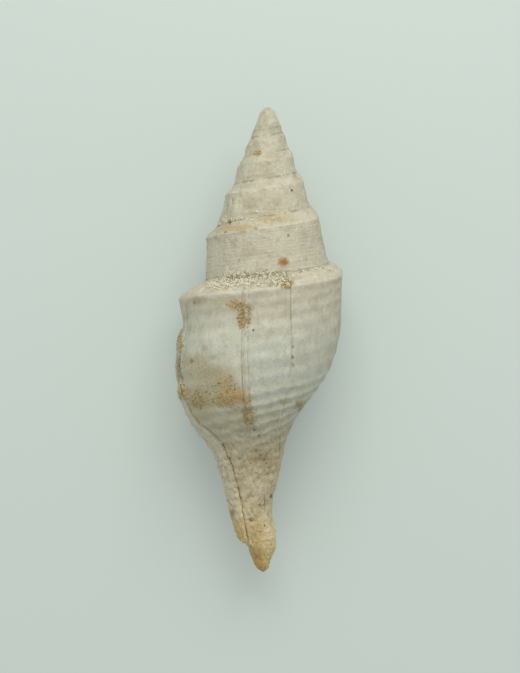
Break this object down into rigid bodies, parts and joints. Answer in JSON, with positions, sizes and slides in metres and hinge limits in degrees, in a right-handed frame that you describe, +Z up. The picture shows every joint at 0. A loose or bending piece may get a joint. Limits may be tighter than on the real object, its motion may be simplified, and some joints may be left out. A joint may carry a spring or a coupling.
{
  "type": "fossil spindle shell",
  "caption": "Worn fossil spindle shell: a stepped pointed spire, a wide last whorl with an open mouth and a tapering canal, lying mouth down.",
  "frame": {"origin": "centre of the shell's bounding box, on the surface that it lies on", "axes": "+Z up, +Y towards the tip of the spire, so the canal points towards -Y and the mouth faces down"},
  "size_m": [0.0281, 0.079, 0.025],
  "materials": {
    "fossil_shell": "chalky cream fossil shell, brownish towards the canal's tip"
  },
  "bodies": {
    "root": {"shell": "fossil_shell"}
  },
  "joints": []
}
